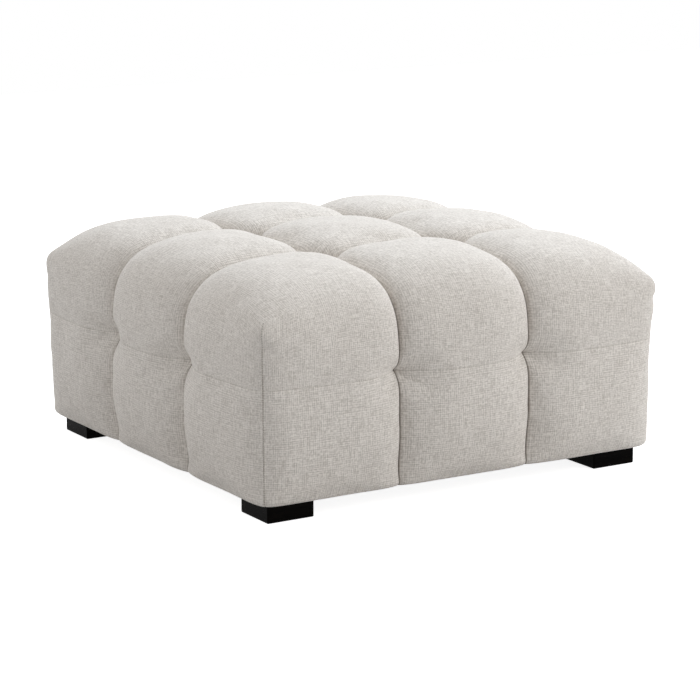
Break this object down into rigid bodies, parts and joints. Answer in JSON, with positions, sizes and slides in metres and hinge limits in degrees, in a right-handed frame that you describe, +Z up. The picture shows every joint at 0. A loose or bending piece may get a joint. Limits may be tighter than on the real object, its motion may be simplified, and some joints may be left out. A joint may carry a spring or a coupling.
{
  "type": "tufted pouf",
  "caption": "Square pouf or footstool with deep-tufted padded top and sides, a seam at mid height and low block legs.",
  "frame": {"origin": "on the floor under the middle of the pouf", "axes": "+Z up; the four sides face +X, -X, +Y and -Y, and the side towards -Y is called the front"},
  "size_m": [0.914, 0.914, 0.466],
  "materials": {
    "cover_linen": "plain woven linen-look upholstery cloth with slubs, oatmeal cream, matt",
    "leg_black_wood": "hardwood, stained black under a satin lacquer",
    "frame_pine": "planed pine, bare",
    "deck_plywood": "softwood plywood, bare",
    "panel_hardboard": "thin hardboard, bare",
    "padding_foam": "upholstery foam",
    "dust_cover_cloth": "thin non-woven cloth, black",
    "zinc_steel": "zinc plated steel",
    "tuft_cord": "twisted upholstery cord, undyed",
    "toggle_wood": "beech, bare"
  },
  "bodies": {
    "root": {"biscuit_front": "cover_linen", "biscuit_right": "cover_linen", "biscuit_back": "cover_linen", "biscuit_left": "cover_linen", "border_front": "cover_linen", "border_right": "cover_linen", "border_back": "cover_linen", "border_left": "cover_linen", "lower_rail_front": "frame_pine", "lower_rail_right": "frame_pine", "lower_rail_back": "frame_pine", "lower_rail_left": "frame_pine", "upper_rail_front": "frame_pine", "upper_rail_right": "frame_pine", "upper_rail_back": "frame_pine", "upper_rail_left": "frame_pine", "studs_front": "frame_pine", "studs_right": "frame_pine", "studs_back": "frame_pine", "studs_left": "frame_pine", "side_panel_front": "panel_hardboard", "side_panel_right": "panel_hardboard", "side_panel_back": "panel_hardboard", "side_panel_left": "panel_hardboard", "side_foam_front": "padding_foam", "side_foam_right": "padding_foam", "side_foam_back": "padding_foam", "side_foam_left": "padding_foam", "biscuit_front_right": "cover_linen", "biscuit_back_right": "cover_linen", "biscuit_back_left": "cover_linen", "biscuit_front_left": "cover_linen", "leg_front_right": "leg_black_wood", "leg_back_right": "leg_black_wood", "leg_back_left": "leg_black_wood", "leg_front_left": "leg_black_wood", "corner_block_front_right": "frame_pine", "corner_block_back_right": "frame_pine", "corner_block_back_left": "frame_pine", "corner_block_front_left": "frame_pine", "corner_post_front_right": "frame_pine", "corner_post_back_right": "frame_pine", "corner_post_back_left": "frame_pine", "corner_post_front_left": "frame_pine", "biscuit_centre": "cover_linen", "deck_panel": "deck_plywood", "deck_foam": "padding_foam", "deck_bearer_right": "frame_pine", "deck_bearer_left": "frame_pine", "dust_cover": "dust_cover_cloth", "leg_bolts": "zinc_steel", "leg_sleeves": "zinc_steel", "top_tuft_cords": "tuft_cord", "top_tuft_toggles": "toggle_wood", "side_tuft_cords": "tuft_cord", "side_tuft_toggles": "toggle_wood"}
  },
  "joints": []
}
